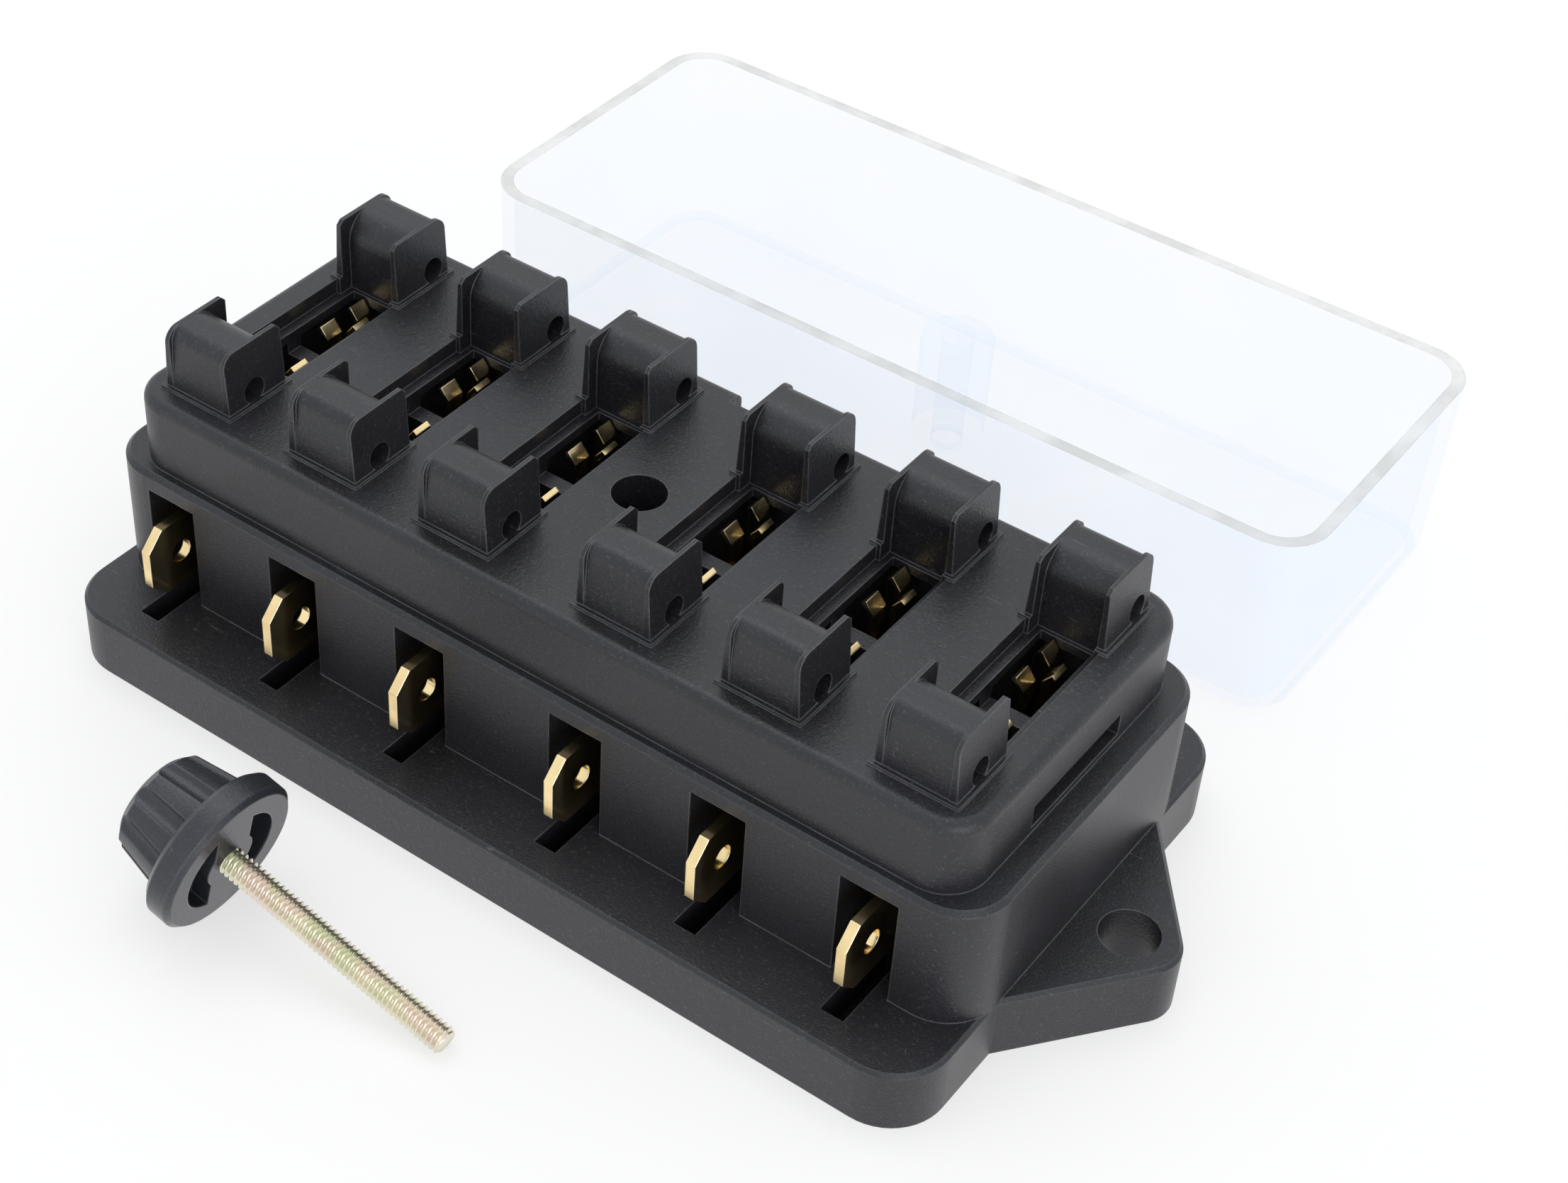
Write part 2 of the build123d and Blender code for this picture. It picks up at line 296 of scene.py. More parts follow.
@dataclass
class Effects:
    """Shared node groups, each built once and used by several finishes.

    Args:
        fine: Finest pattern of the moulding grain.
        coarse: Coarser pattern under it.
        fine_share: Weight of the finest pattern in the height.
        coarse_share: Weight of the coarser pattern in the height.
        speck: Pale specks.
        cloud: Broad lighter and darker areas.
        edge_low: Bend of the normal at which an edge begins to show.
        edge_high: Bend of the normal at which it shows fully.
        edge_gap: Places where the edge mask, and with it the painted edge highlight, is left out.
        scuff_turn: Direction of the rubs.
        scuff_scale: How much they are drawn out.
        scuff_line: The rubs.
        scuff_area: The areas that have them.
        made: The groups that are built so far.
    """

    fine: Noise = Noise(5200.0, 2.0, 0.6)
    coarse: Noise = Noise(1900.0, 2.0, 0.5)
    fine_share: float = 0.75
    coarse_share: float = 0.25
    speck: Patches = Patches(Noise(4000.0, 3.0, 0.7), 0.54, 0.76)
    cloud: Patches = Patches(Noise(55.0, 4.0, 0.55), 0.3, 0.7)
    edge_low: float = 0.02
    edge_high: float = 0.26
    edge_gap: Patches = Patches(Noise(420.0, 3.0, 0.6), 0.35, 0.65)
    scuff_turn: Colour = (0.3, 0.2, 0.7)
    scuff_scale: Colour = (1.0, 9.0, 9.0)
    scuff_line: Patches = Patches(Noise(260.0, 3.0, 0.65), 0.66, 0.74)
    scuff_area: Patches = Patches(Noise(16.0, 2.0, 0.5), 0.5, 0.62)
    made: dict[str, bpy.types.NodeTree] = field(default_factory=dict)

    def _group(
        self, name: str, inputs: tuple[str, ...], outputs: tuple[str, ...]
    ) -> tuple[Graph, bpy.types.Node, bpy.types.Node]:
        """Start a group that has float inputs and outputs.

        Args:
            name: Name of the group.
            inputs: Input names.
            outputs: Output names.

        Returns:
            The graph, the group's input node and its output node.
        """
        tree = bpy.data.node_groups.new(name, "ShaderNodeTree")
        for key in inputs:
            tree.interface.new_socket(key, in_out="INPUT", socket_type="NodeSocketFloat")
        for key in outputs:
            tree.interface.new_socket(key, in_out="OUTPUT", socket_type="NodeSocketFloat")
        graph = Graph(tree)
        self.made[name] = tree
        return graph, graph.add("NodeGroupInput"), graph.add("NodeGroupOutput")

    def grain(self) -> bpy.types.NodeTree:
        """Fine matt moulding grain with paler specks.

        Returns:
            The group, with outputs Height, Speck and Cloud.
        """
        if "moulded grain" in self.made:
            return self.made["moulded grain"]
        g, _, out = self._group("moulded grain", (), ("Height", "Speck", "Cloud"))
        where = g.where()
        fine = g.math("MULTIPLY", g.noise(where, self.fine), self.fine_share)
        g.put(out.inputs["Height"], g.blend(fine, g.noise(where, self.coarse), self.coarse_share))
        g.put(out.inputs["Speck"], g.patches(where, self.speck))
        g.put(out.inputs["Cloud"], g.patches(where, self.cloud))
        return self.made["moulded grain"]

    def edges(self) -> bpy.types.NodeTree:
        """Mask of outer edges, found by comparing the rounded normal with the flat one; the finishes paint edge
        highlights with it.

        Returns:
            The group, with inputs Radius and Broken and output Mask.
        """
        if "rounded edge mask" in self.made:
            return self.made["rounded edge mask"]
        g, into, out = self._group("rounded edge mask", ("Radius", "Broken"), ("Mask",))
        bevel = g.add("ShaderNodeBevel", samples=BEVEL_SAMPLES)
        g.put(bevel.inputs["Radius"], into.outputs["Radius"])
        dot = g.add("ShaderNodeVectorMath", operation="DOT_PRODUCT")
        g.put(dot.inputs[0], bevel.outputs["Normal"])
        g.put(dot.inputs[1], g.add("ShaderNodeNewGeometry").outputs["Normal"])
        mask = g.ramp(g.math("SUBTRACT", 1.0, dot.outputs["Value"]), self.edge_low, self.edge_high)
        gaps = g.patches(g.where(), self.edge_gap)
        keep = g.math("SUBTRACT", 1.0, g.math("MULTIPLY", gaps, into.outputs["Broken"]))
        g.put(out.inputs["Mask"], g.math("MULTIPLY", mask, keep, clamp=True))
        return self.made["rounded edge mask"]

    def scuffs(self) -> bpy.types.NodeTree:
        """Sparse short rubs, drawn out along one diagonal.

        Returns:
            The group, with output Mask.
        """
        if "light scuffs" in self.made:
            return self.made["light scuffs"]
        g, _, out = self._group("light scuffs", (), ("Mask",))
        along = g.stretched(self.scuff_scale, self.scuff_turn)
        line = g.patches(along, self.scuff_line)
        area = g.patches(along, self.scuff_area)
        g.put(out.inputs["Mask"], g.math("MULTIPLY", line, area, clamp=True))
        return self.made["light scuffs"]


EFFECTS = Effects()


@dataclass
class Shader:
    """One material being built, with its Principled node kept in the material itself.

    Args:
        name: Name of the material.
    """

    name: str
    graph: Graph = field(init=False)
    bsdf: bpy.types.Node = field(init=False)
    material: bpy.types.Material = field(init=False)

    def __post_init__(self) -> None:
        """Create the material with its Principled node."""
        self.material = bpy.data.materials.new(self.name)
        self.material.use_nodes = True
        self.graph = Graph(self.material.node_tree)
        self.bsdf = next(n for n in self.material.node_tree.nodes if n.type == "BSDF_PRINCIPLED")

    def feed(self, name: str, value: object) -> None:
        """Link or write one input of the Principled node.

        Args:
            name: Name of the input.
            value: A socket, a number, or a colour as (r, g, b).
        """
        self.graph.put(self.bsdf.inputs[name], (*value, 1.0) if isinstance(value, tuple) else value)

    def group(self, tree: bpy.types.NodeTree, **values: float) -> bpy.types.Node:
        """Use a shared effect in this material.

        Args:
            tree: The shared group.
            **values: Constants for its inputs.

        Returns:
            The group node.
        """
        node = self.graph.add("ShaderNodeGroup", node_tree=tree)
        for key, value in values.items():
            node.inputs[key].default_value = value
        return node

    def bump(self, height: bpy.types.NodeSocket, distance: float, strength: float, bevel: float = 0.0) -> None:
        """Feed the normal with a bump, over softly rounded edges where asked.

        Args:
            height: Height socket.
            distance: Depth of the bump in metres.
            strength: Strength of the bump.
            bevel: Radius of the rounding, 0 for none.
        """
        node = self.graph.add("ShaderNodeBump")
        node.inputs["Strength"].default_value = strength
        node.inputs["Distance"].default_value = distance
        self.graph.put(node.inputs["Height"], height)
        if bevel:
            soft = self.graph.add("ShaderNodeBevel", samples=BEVEL_SAMPLES)
            soft.inputs["Radius"].default_value = bevel
            self.graph.put(node.inputs["Normal"], soft.outputs["Normal"])
        self.feed("Normal", node.outputs["Normal"])


@dataclass(frozen=True)
class MouldedPlastic:
    """Charcoal moulding with grain, a painted highlight along its edges, specks and a few scuffs.

    Args:
        name: Material name.
        dark: Colour in the clouds' low part.
        pale: Colour in the clouds' high part.
        edge: Colour of the painted edge highlights, of the specks and of the scuffs.
        gloss_tint: Colour of the reflections.
        roughness: Lowest roughness of the faces.
        cloud_rough: Roughness that the clouds add.
        edge_polish: Roughness that the edges lose.
        edge_radius: Width of the edge mask.
        rounding: Share of that width that the normal is rounded over.
        broken: How much of the painted edge highlight and of the edge polish is left out in places.
        speck_mix: Strength of the specks.
        scuff_mix: Strength of the scuffs.
        edge_highlight_mix: Strength of the painted edge highlights.
        grain_depth: Depth of the grain.
        grain_strength: Strength of the grain.
    """

    name: str
    dark: Colour = (0.0108, 0.0108, 0.0132)
    pale: Colour = (0.0182, 0.0182, 0.0222)
    edge: Colour = (0.186, 0.188, 0.200)
    gloss_tint: Colour = (0.95, 0.965, 1.0)
    roughness: float = 0.33
    cloud_rough: float = 0.1
    edge_polish: float = 0.1
    edge_radius: float = 0.2 * MM
    rounding: float = 0.6
    broken: float = 0.45
    speck_mix: float = 0.23
    scuff_mix: float = 0.35
    edge_highlight_mix: float = 0.75
    grain_depth: float = 0.045 * MM
    grain_strength: float = 0.9

    def build(self) -> bpy.types.Material:
        """Build the material.

        Returns:
            The finished material.
        """
        s = Shader(self.name)
        g = s.graph
        grain = s.group(EFFECTS.grain()).outputs
        # worn marks the edges: the paler edge colour there is a painted highlight, and the lower roughness is a
        # polish.
        worn = s.group(EFFECTS.edges(), Radius=self.edge_radius, Broken=self.broken).outputs["Mask"]
        scuffs = s.group(EFFECTS.scuffs()).outputs["Mask"]
        colour = g.mix(grain["Cloud"], self.dark, self.pale)
        # The last of these mixes paints the edge highlight in the edge colour.
        for mask, strength in ((grain["Speck"], self.speck_mix), (scuffs, self.scuff_mix), (worn, self.edge_highlight_mix)):
            colour = g.mix(g.math("MULTIPLY", mask, strength), colour, self.edge)
        s.feed("Base Color", colour)
        rough = g.blend(self.roughness, grain["Cloud"], self.cloud_rough)
        s.feed("Roughness", g.blend(rough, worn, -self.edge_polish))
        s.feed("Specular Tint", self.gloss_tint)
        s.bump(grain["Height"], self.grain_depth, self.grain_strength, self.edge_radius * self.rounding)
        return s.material


@dataclass(frozen=True)
class SheetBrass:
    """Stamped brass sheet, paler on its cut edges with a painted highlight there, and a little dulled on its
    faces.

    Args:
        name: Material name.
        face: Colour of the flat faces.
        dull: Colour of the dulled patches.
        edge: Colour of the sheared edges, paler brass with a painted highlight.
        dulled: The dulled patches.
        dull_mix: Strength of the dulled patches.
        edge_radius: Width of the paler, highlighted edges.
        broken: How much of the paler, highlighted edges is left out in places.
        roughness: Roughness of the bright faces.
        dull_rough: Roughness that the patches add.
        brushing: Fine lines of the rolled sheet.
        brush_scale: How much the lines are drawn out.
        brush_depth: Depth of the lines.
        brush_strength: Strength of the lines.
        rounding: Radius that the normal is rounded over.
    """

    name: str
    face: Colour = (0.96, 0.77, 0.42)
    dull: Colour = (0.76, 0.56, 0.28)
    edge: Colour = (1.0, 0.92, 0.68)
    dulled: Patches = Patches(Noise(240.0, 4.0, 0.6), 0.35, 0.7)
    dull_mix: float = 0.6
    edge_radius: float = 0.16 * MM
    broken: float = 0.15
    roughness: float = 0.15
    dull_rough: float = 0.12
    brushing: Noise = Noise(5200.0, 2.0, 0.6)
    brush_scale: Colour = (1.0, 0.12, 1.0)
    brush_depth: float = 0.006 * MM
    brush_strength: float = 0.5
    rounding: float = 0.12 * MM

    def build(self) -> bpy.types.Material:
        """Build the material.

        Returns:
            The finished material.
        """
        s = Shader(self.name)
        g = s.graph
        dulled = g.patches(g.where(), self.dulled)
        sheared = s.group(EFFECTS.edges(), Radius=self.edge_radius, Broken=self.broken).outputs["Mask"]
        colour = g.mix(g.math("MULTIPLY", dulled, self.dull_mix), self.face, self.dull)
        # The sheared edges take the paler edge colour, which is partly a painted highlight.
        s.feed("Base Color", g.mix(sheared, colour, self.edge))
        s.feed("Metallic", 1.0)
        s.feed("Roughness", g.blend(self.roughness, dulled, self.dull_rough))
        brushed = g.noise(g.stretched(self.brush_scale), self.brushing)
        s.bump(brushed, self.brush_depth, self.brush_strength, self.rounding)
        return s.material


@dataclass(frozen=True)
class PassivatedSteel:
    """Zinc plate with a yellow passivation that shifts between straw, green and pink.

    Args:
        name: Material name.
        straw: Main colour.
        green: Greenish patches.
        pink: Pinkish patches.
        tint: Strength of the patches.
        green_area: Where the greenish patches lie.
        pink_area: Where the pinkish patches lie.
        plating: Fine texture of the plate.
        roughness: Lowest roughness.
        plating_rough: Roughness that the texture adds.
        plating_depth: Depth of the texture.
        plating_strength: Strength of the texture.
    """

    name: str
    straw: Colour = (0.79, 0.74, 0.59)
    green: Colour = (0.63, 0.68, 0.47)
    pink: Colour = (0.79, 0.65, 0.59)
    tint: float = 0.6
    green_area: Patches = Patches(Noise(300.0, 2.0, 0.5), 0.42, 0.62)
    pink_area: Patches = Patches(Noise(410.0, 2.0, 0.5), 0.45, 0.66)
    plating: Noise = Noise(4200.0, 3.0, 0.6)
    roughness: float = 0.24
    plating_rough: float = 0.18
    plating_depth: float = 0.008 * MM
    plating_strength: float = 0.4

    def build(self) -> bpy.types.Material:
        """Build the material.

        Returns:
            The finished material.
        """
        s = Shader(self.name)
        g = s.graph
        where = g.where()
        colour = self.straw
        for area, shade in ((self.green_area, self.green), (self.pink_area, self.pink)):
            colour = g.mix(g.math("MULTIPLY", g.patches(where, area), self.tint), colour, shade)
        s.feed("Base Color", colour)
        s.feed("Metallic", 1.0)
        plating = g.noise(where, self.plating)
        s.feed("Roughness", g.blend(self.roughness, plating, self.plating_rough))
        s.bump(plating, self.plating_depth, self.plating_strength)
        return s.material


@dataclass(frozen=True)
class ClearPlastic:
    """Clear polished moulding, faintly blue through its walls, with a rim that reads as a grey band.

    Args:
        name: Material name.
        rim_height: Height above which the rim's flat face begins.
        foot_height: Height below which the chamfered edge shows as a thin line.
        tint: Colour that each wall adds to what lies behind it.
        side: Colour of the walls where they are seen edge on.
        rim: Colour of the rim's polished parts.
        rim_worn: Colour of the rim's frosted parts.
        level: Least upward part of the normal on a face that counts as level.
        upright: Greatest upward part of the normal on the chamfered edge.
        worn: The rim's frosted parts.
        cloud: Areas where the walls are a little less clear.
        edge_blend: Blend of the edge-on mask.
        edge_power: Sharpness of the edge-on mask.
        veil: How much of the tint a wall adds where it is clearest.
        cloud_veil: How much the clouds add.
        edge_veil: How much the edge-on parts add.
        foot_veil: How much the chamfered edge adds.
        frost: Cover of the rim's polished parts.
        worn_frost: Cover that the frosted parts add.
        roughness: Roughness of the walls.
        rim_rough: Roughness that the rim adds.
        wave: Slow waves of the moulded walls.
        wave_depth: Depth of the waves.
        wave_strength: Strength of the waves.
        rounding: Radius that the normal is rounded over.
    """

    name: str
    rim_height: float
    foot_height: float
    tint: Colour = (0.42, 0.66, 1.0)
    side: Colour = (0.50, 0.54, 0.58)
    rim: Colour = (0.62, 0.62, 0.585)
    rim_worn: Colour = (0.42, 0.42, 0.39)
    level: float = 0.6
    upright: float = 0.9
    worn: Patches = Patches(Noise(170.0, 4.0, 0.65), 0.34, 0.66)
    cloud: Patches = Patches(Noise(60.0, 3.0, 0.5), 0.3, 0.7)
    edge_blend: float = 0.3
    edge_power: float = 3.0
    veil: float = 0.032
    cloud_veil: float = 0.016
    edge_veil: float = 0.22
    foot_veil: float = 0.07
    frost: float = 0.36
    worn_frost: float = 0.18
    roughness: float = 0.06
    rim_rough: float = 0.3
    wave: Noise = Noise(90.0, 2.0, 0.5)
    wave_depth: float = 0.05 * MM
    wave_strength: float = 0.25
    rounding: float = 0.3 * MM

    def build(self) -> bpy.types.Material:
        """Build the material.

        Returns:
            The finished material.
        """
        s = Shader(self.name)
        g = s.graph
        where = g.where()
        height = g.split(where)[2]
        upward = g.split(g.add("ShaderNodeNewGeometry").outputs["Normal"])[2]
        high = g.math("GREATER_THAN", height, self.rim_height)
        rim = g.math("MULTIPLY", high, g.math("GREATER_THAN", upward, self.level))
        low = g.math("LESS_THAN", height, self.foot_height)
        foot = g.math("MULTIPLY", low, g.math("LESS_THAN", g.math("ABSOLUTE", upward), self.upright))
        worn = g.patches(where, self.worn)
        layer = g.add("ShaderNodeLayerWeight")
        layer.inputs["Blend"].default_value = self.edge_blend
        edge_on = g.math("POWER", layer.outputs["Facing"], self.edge_power)
        wall = g.mix(edge_on, self.tint, self.side)
        s.feed("Base Color", g.mix(rim, wall, g.mix(worn, self.rim, self.rim_worn)))
        veil = g.blend(self.veil, g.patches(where, self.cloud), self.cloud_veil)
        veil = g.blend(g.blend(veil, edge_on, self.edge_veil), foot, self.foot_veil)
        frost = g.math("MULTIPLY", rim, g.blend(self.frost, worn, self.worn_frost))
        s.feed("Alpha", g.math("MAXIMUM", veil, frost))
        s.feed("Roughness", g.blend(self.roughness, rim, self.rim_rough))
        s.bump(g.noise(where, self.wave), self.wave_depth, self.wave_strength, self.rounding)
        return s.material


@dataclass
class FuseHousing:
    """The dark moulding and the plate that closes its underside.

    Args:
        finishes: Name of the finish of each node.
    """

    finishes: dict[str, str] = field(
        default_factory=lambda: {"housing": "Housing moulding", "base_plate": "Base moulding"}
    )

    def dress(self, frame: dict) -> None:
        """Give the moulding and its plate their finish.

        Args:
            frame: The loaded frame.
        """
        for node, finish in self.finishes.items():
            paint(frame["nodes"][node], MouldedPlastic(finish).build())


@dataclass
class Terminals:
    """The twelve formed brass terminals.

    Args:
        sides: The two rows.
        per_side: Number of terminals in a row.
    """

    sides: tuple[str, ...] = ("front", "rear")
    per_side: int = 6

    def dress(self, frame: dict) -> None:
        """Give every terminal its finish.

        Args:
            frame: The loaded frame.
        """
        brass = SheetBrass("Terminal brass").build()
        for side in self.sides:
            for number in range(1, self.per_side + 1):
                paint(frame["nodes"][f"terminal_{side}_{number}"], brass)


@dataclass
class ClearCover:
    """The clear cover that lies upside down behind the housing.

    Args:
        rim_margin: Depth below the top that still counts as the rim.
        foot: Height of the chamfered edge that it lies on.
    """

    rim_margin: float = 0.06 * MM
    foot: float = 0.7 * MM

    def dress(self, frame: dict) -> None:
        """Give the cover its finish.

        Args:
            frame: The loaded frame.
        """
        low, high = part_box("cover")
        clear = ClearPlastic("Clear cover", high.z - self.rim_margin, low.z + self.foot)
        paint(frame["nodes"]["cover"], clear.build())


@dataclass
class ScrewThread:
    """A helical thread on a round core.

    Args:
        crest: Radius over the crests.
        pitch: Length of one turn.
        depth: Depth from crest to root.
        flat: Share of half a turn that is level, at the crest and at the root.
        around: Vertices in each ring.
        per_turn: Rings in each turn.
    """

    crest: float
    pitch: float
    depth: float = 0.24 * MM
    flat: float = 0.12
    around: int = 36
    per_turn: int = 8

    def radius(self, along: float, angle: float) -> float:
        """Radius of the surface at a place.

        Args:
            along: Distance along the axis.
            angle: Angle round the axis, in radians.

        Returns:
            The radius in metres.
        """
        phase = (along / self.pitch - angle / math.tau) % 1.0
        rise = abs(2.0 * phase - 1.0)
        sunk = (rise - self.flat) / (1.0 - 2.0 * self.flat)
        return self.crest - self.depth * min(1.0, max(0.0, sunk))

    def fill(self, mesh: bmesh.types.BMesh, start: float, end: float, lead: float) -> None:
        """Add the threaded surface with flat ends, along +Z.

        Args:
            mesh: The mesh to add to.
            start: First place along the axis.
            end: Last place along the axis.
            lead: Length of the turned-down tip at the end.
        """
        count = round((end - start) / self.pitch * self.per_turn)
        rings = []
        for i in range(count + 1):
            along = start + (end - start) * i / count
            ring = []
            for j in range(self.around):
                angle = math.tau * j / self.around
                reach = min(self.radius(along, angle), self.crest - max(0.0, along - (end - lead)))
                ring.append(mesh.verts.new((reach * math.cos(angle), reach * math.sin(angle), along)))
            rings.append(ring)
        for low, high in zip(rings, rings[1:]):
            for j in range(self.around):
                k = (j + 1) % self.around
                mesh.faces.new((low[j], low[k], high[k], high[j]))
        mesh.faces.new(list(reversed(rings[0])))
        mesh.faces.new(rings[-1])


@dataclass
class KnobScrew:
    """The fluted knob and its threaded rod, lying in front of the housing.

    Args:
        rod_radius: Radius over the thread's crests.
        root: Length of rod inside the knob, behind the joint's centre.
        reach: Length of rod ahead of the joint's centre.
        lead: Length of the turned-down tip.
        pitch: Length of one turn.
        smooth: Largest angle that is shaded smoothly.
    """

    rod_radius: float = 1.1 * MM
    root: float = 4.2 * MM
    reach: float = 20.5 * MM
    lead: float = 0.25 * MM
    pitch: float = 0.45 * MM
    smooth: float = math.radians(50)

    def build_rod(self, frame: dict) -> bpy.types.Object:
        """Build the rod with its turns, on the axis of the knob's joint.

        Args:
            frame: The loaded frame.

        Returns:
            The rod's object.
        """
        joint = next(j for j in frame["joints"] if j["child"] == Body.SCREW.value)
        axis, centre = Vector(joint["axis"]).normalized(), Vector(joint["pos_m"])
        mesh = bmesh.new()
        ScrewThread(self.rod_radius, self.pitch).fill(mesh, -self.root, self.reach, self.lead)
        turn = axis.to_track_quat("Z", "Y").to_matrix().to_4x4()
        bmesh.ops.transform(mesh, matrix=Matrix.Translation(centre) @ turn, verts=mesh.verts)
        bmesh.ops.recalc_face_normals(mesh, faces=mesh.faces)
        return finish_piece(mesh, "rod_thread", Body.SCREW, "threaded_rod", self.smooth)

    def dress(self, frame: dict) -> None:
        """Build the rod and give both pieces their finish.

        Args:
            frame: The loaded frame.
        """
        knob = MouldedPlastic(
            "Knob moulding",
            dark=(0.023, 0.024, 0.030),
            pale=(0.036, 0.038, 0.046),
            # edge colours the specks, the scuffs and the painted edge highlight.
            edge=(0.16, 0.16, 0.18),
            roughness=0.28,
            edge_radius=0.3 * MM,
        )
        paint(frame["nodes"]["knob"], knob.build())
        paint(self.build_rod(frame), PassivatedSteel("Yellow passivated").build())


@dataclass
class CaptiveNut:
    """The hexagon nut under the cover screw's hole.

    Args:
        flats: Width across the flats.
        bore: Diameter of the bore.
        per_side: Steps along each of the six sides.
        smooth: Largest angle that is shaded smoothly.
    """

    flats: float = 5.0 * MM
    bore: float = 2.05 * MM
    per_side: int = 4
    smooth: float = math.radians(40)

    def dress(self, frame: dict) -> None:
        """Build the nut round its bore and give it its finish.

        Args:
            frame: The loaded frame.
        """
        low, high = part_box("captive_nut")
        mesh = bmesh.new()
        hexagon = [
            Vector((math.cos(math.tau * i / 6), math.sin(math.tau * i / 6), 0)) * self.flats / math.sqrt(3)
            for i in range(6)
        ]
        steps, reach = 6 * self.per_side, self.bore / 2
        inner, outer = [], []
        for i in range(steps):
            side, part = divmod(i, self.per_side)
            spot = hexagon[side].lerp(hexagon[(side + 1) % 6], part / self.per_side)
            outer.append(mesh.verts.new((spot.x, spot.y, low.z)))
            angle = math.tau * i / steps
            inner.append(mesh.verts.new((reach * math.cos(angle), reach * math.sin(angle), low.z)))
        faces = []
        for i in range(steps):
            k = (i + 1) % steps
            faces.append(mesh.faces.new((inner[i], inner[k], outer[k], outer[i])))
        risen = bmesh.ops.extrude_face_region(mesh, geom=faces)["geom"]
        moved = [v for v in risen if isinstance(v, bmesh.types.BMVert)]
        bmesh.ops.translate(mesh, vec=(0, 0, high.z - low.z), verts=moved)
        bmesh.ops.recalc_face_normals(mesh, faces=mesh.faces)
        piece = finish_piece(mesh, "nut", Body.BASE, "captive_nut", self.smooth)
        steel = PassivatedSteel(
            "Zinc plate", straw=(0.62, 0.62, 0.6), green=(0.6, 0.62, 0.6), pink=(0.64, 0.62, 0.6), tint=0.4
        )
        paint(piece, steel.build())


@dataclass(frozen=True)
class Panel:
    """A square soft light that faces the object.

    Args:
        name: Name of the light.
        place: Where it hangs.
        size: Length of its side.
        power: Its power in watts.
    """

    name: str
    place: tuple[float, float, float]
    size: float
    power: float

    def build(self) -> None:
        """Hang the panel."""
        data = bpy.data.lights.new(self.name, "AREA")
        data.size, data.energy = self.size, self.power
        light = bpy.data.objects.new(self.name, data)
        light.location = self.place
        light.rotation_euler = (-Vector(self.place)).to_track_quat("-Z", "Y").to_euler()
        bpy.context.scene.collection.objects.link(light)


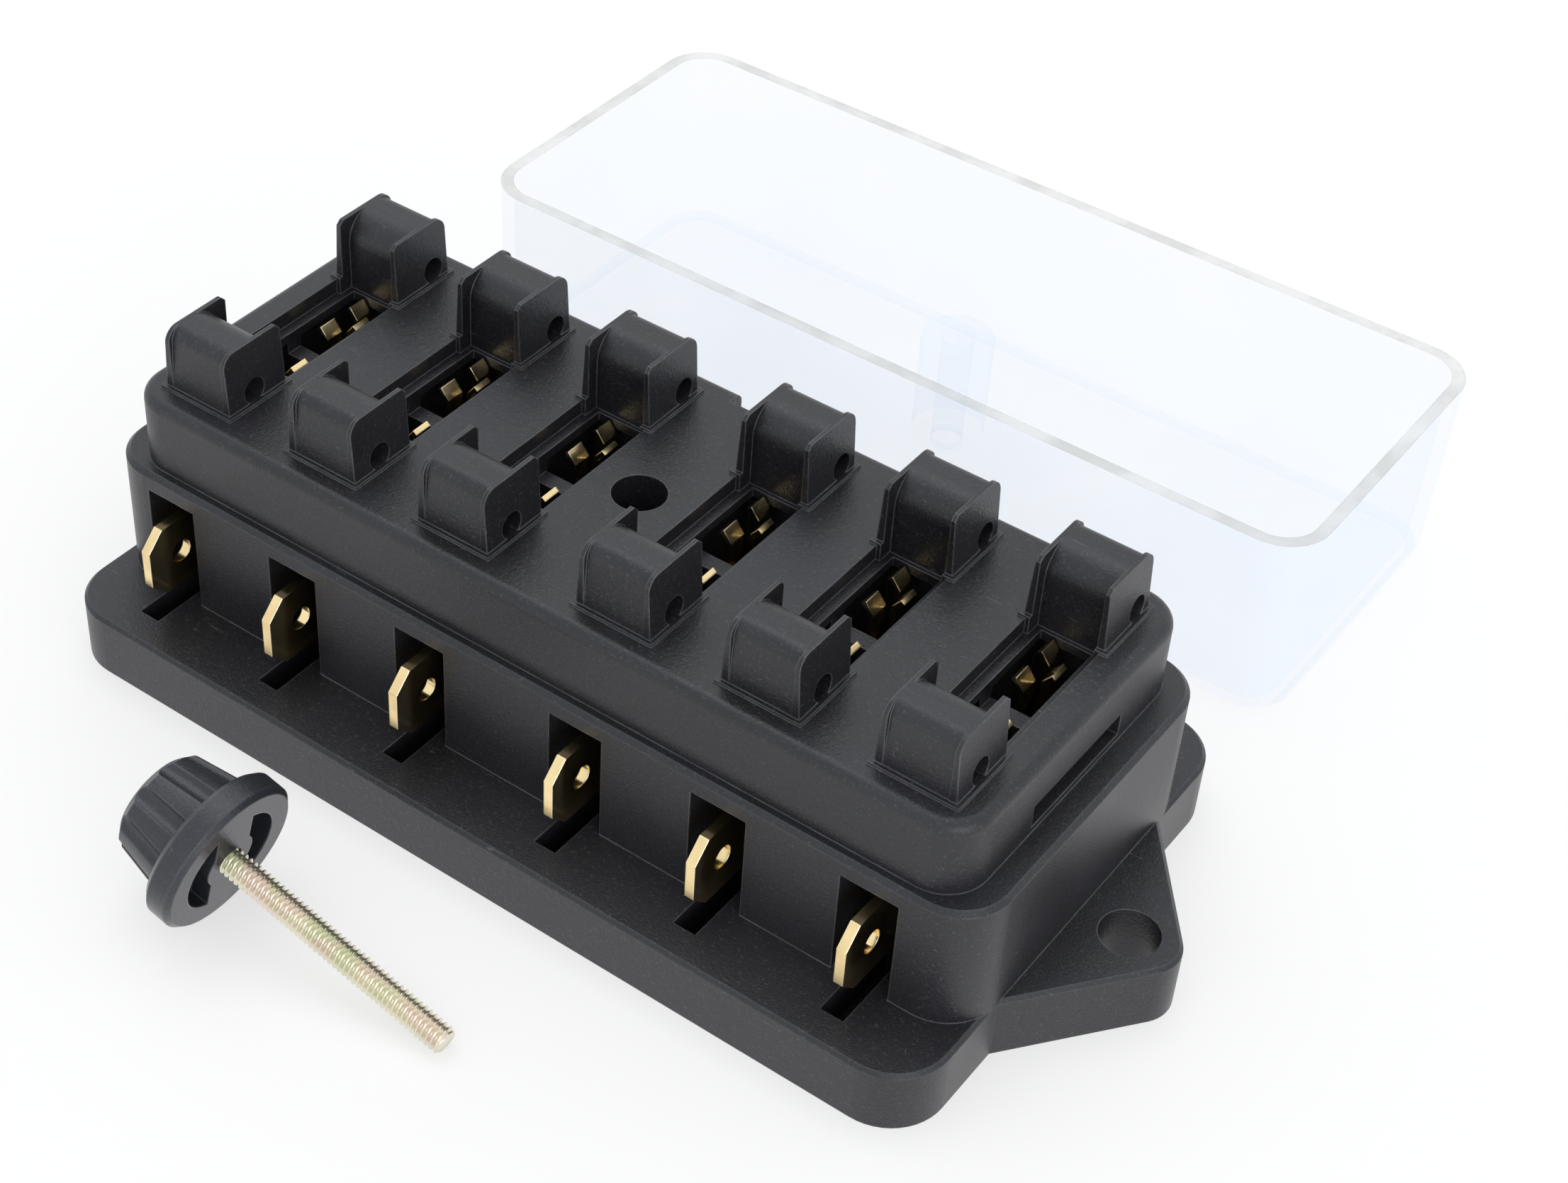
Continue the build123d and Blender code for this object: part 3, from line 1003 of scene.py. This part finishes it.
@dataclass
class Studio:
    """Pale floor, soft light and the camera at the photograph's angle.

    Args:
        place: Where the camera stands.
        azimuth: Its turn about the upright axis, in degrees.
        elevation: How far it looks down, in degrees.
        roll: Its turn about the line of sight, in degrees.
        focal: Focal length in pixels of the photograph.
        centre: Pixel of the photograph on the line of sight.
        size: Size of the photograph in pixels.
        sensor: Width of the camera's sensor in millimetres.
        clip: Nearest and farthest distance that is drawn.
        floor_half: Half the length of the floor's side.
        floor_drop: How far the floor lies below the object.
        floor_pale: Brightness of the floor in full light.
        floor_glow: Part of that brightness that shadows leave.
        floor_rough: Roughness of the floor.
        floor_gloss: Specular level of the floor.
        sky: Colour of the surround.
        panels: The soft lights.
    """

    place: Vector = field(default_factory=lambda: Vector((94.019, -127.913, 151.856)) * MM)
    azimuth: float = 34.779
    elevation: float = 40.405
    roll: float = 2.869
    focal: float = 3950.451
    centre: tuple[float, float] = (980.0, 785.0)
    size: tuple[int, int] = (2212, 1669)
    sensor: float = 36.0
    clip: tuple[float, float] = (0.01, 20.0)
    floor_half: float = 3.0
    floor_drop: float = 0.02 * MM
    floor_pale: float = 0.945
    floor_glow: float = 0.62
    floor_rough: float = 0.9
    floor_gloss: float = 0.1
    sky: Colour = (0.97, 0.985, 1.0)
    panels: tuple[Panel, ...] = (
        Panel("Key panel", (-0.25, 0.2, 0.8), 0.6, 1.4),
        Panel("Side panel", (0.55, -0.35, 0.2), 0.4, 1.1),
    )

    def build_camera(self) -> None:
        """Place the camera that was found from the photograph."""
        a, e, r = (math.radians(v) for v in (self.azimuth, self.elevation, self.roll))
        ahead = Vector((-math.sin(a) * math.cos(e), math.cos(a) * math.cos(e), -math.sin(e)))
        side = Vector((math.cos(a), math.sin(a), 0.0))
        up = side.cross(ahead)
        right = side * math.cos(r) + up * math.sin(r)
        upright = up * math.cos(r) - side * math.sin(r)
        wide, tall = self.size
        data = bpy.data.cameras.new("Camera")
        data.sensor_width = self.sensor
        data.lens = self.focal / wide * self.sensor
        data.shift_x = (wide / 2 - self.centre[0]) / wide
        data.shift_y = (self.centre[1] - tall / 2) / wide
        data.clip_start, data.clip_end = self.clip
        camera = bpy.data.objects.new("Camera", data)
        bpy.context.scene.collection.objects.link(camera)
        turn = Matrix((right, upright, -ahead)).transposed().to_4x4()
        camera.matrix_world = Matrix.Translation(self.place) @ turn
        bpy.context.scene.camera = camera

    def floor_finish(self) -> bpy.types.Material:
        """Build the floor's finish.

        The camera sees a part of the white as plain brightness, so that shadows stay soft. Reflections see plain
        white, and all other light falls on the floor's own colour.

        Returns:
            The finished material.
        """
        s = Shader("Floor")
        g = s.graph
        path = g.add("ShaderNodeLightPath")
        seen, mirrored = path.outputs["Is Camera Ray"], path.outputs["Is Glossy Ray"]
        lit = g.mix(seen, (self.floor_pale,) * 3, (self.floor_pale - self.floor_glow,) * 3)
        s.feed("Base Color", g.mix(mirrored, lit, BLACK))
        s.feed("Emission Color", WHITE)
        s.feed("Emission Strength", g.blend(mirrored, seen, self.floor_glow))
        s.feed("Roughness", self.floor_rough)
        s.feed("Specular IOR Level", self.floor_gloss)
        return s.material

    def build_floor(self) -> None:
        """Lay the pale floor."""
        mesh = bmesh.new()
        bmesh.ops.create_grid(mesh, x_segments=1, y_segments=1, size=self.floor_half)
        data = bpy.data.meshes.new("floor")
        mesh.to_mesh(data)
        mesh.free()
        data.materials.append(self.floor_finish())
        floor = bpy.data.objects.new("floor", data)
        floor.location.z = -self.floor_drop
        bpy.context.scene.collection.objects.link(floor)

    def build_light(self) -> None:
        """Light the scene with a pale surround and the soft panels."""
        world = bpy.data.worlds.new("Surround")
        bpy.context.scene.world = world
        world.use_nodes = True
        world.node_tree.nodes["Background"].inputs["Color"].default_value = (*self.sky, 1.0)
        for panel in self.panels:
            panel.build()


def paint(piece: bpy.types.Object, material: bpy.types.Material) -> None:
    """Put one material on a whole piece.

    Args:
        piece: A CAD node or a new piece.
        material: The finish.
    """
    if not piece.data.materials:
        piece.data.materials.append(material)
    for index in range(len(piece.data.materials)):
        piece.data.materials[index] = material


def finish_piece(
    mesh: bmesh.types.BMesh, name: str, body: Body, stands_for: str, smooth: float
) -> bpy.types.Object:
    """Turn a bmesh into a piece that rides on its body.

    Args:
        mesh: The mesh, in the frame's own coordinates.
        name: Name of the piece.
        body: Body that carries it.
        stands_for: CAD node that it replaces.
        smooth: Largest angle that is shaded smoothly.

    Returns:
        The new object.
    """
    data = bpy.data.meshes.new(name)
    for edge in mesh.edges:
        edge.smooth = len(edge.link_faces) == 2 and edge.calc_face_angle(0.0) < smooth
    for face in mesh.faces:
        face.smooth = True
    mesh.to_mesh(data)
    mesh.free()
    piece = bpy.data.objects.new(name, data)
    bpy.context.scene.collection.objects.link(piece)
    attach(piece, body.value)
    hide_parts(stands_for)
    return piece


def main(frame: dict) -> None:
    """Build and dress everything, one sub-assembly after the other.

    Args:
        frame: The loaded frame.
    """
    for part in (FuseHousing(), CaptiveNut(), Terminals(), ClearCover(), KnobScrew()):
        part.dress(frame)
        LOG.info("dressed %s", type(part).__name__)
    studio = Studio()
    studio.build_floor()
    studio.build_light()
    studio.build_camera()
    bpy.context.scene.view_settings.view_transform = "Standard"
    bpy.context.scene.cycles.transparent_max_bounces = CLEAR_WALLS
    LOG.info("studio ready")


if __name__ == "__main__":
    logging.basicConfig(level=logging.INFO, format="%(name)s: %(message)s")
    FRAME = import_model()
    main(FRAME)
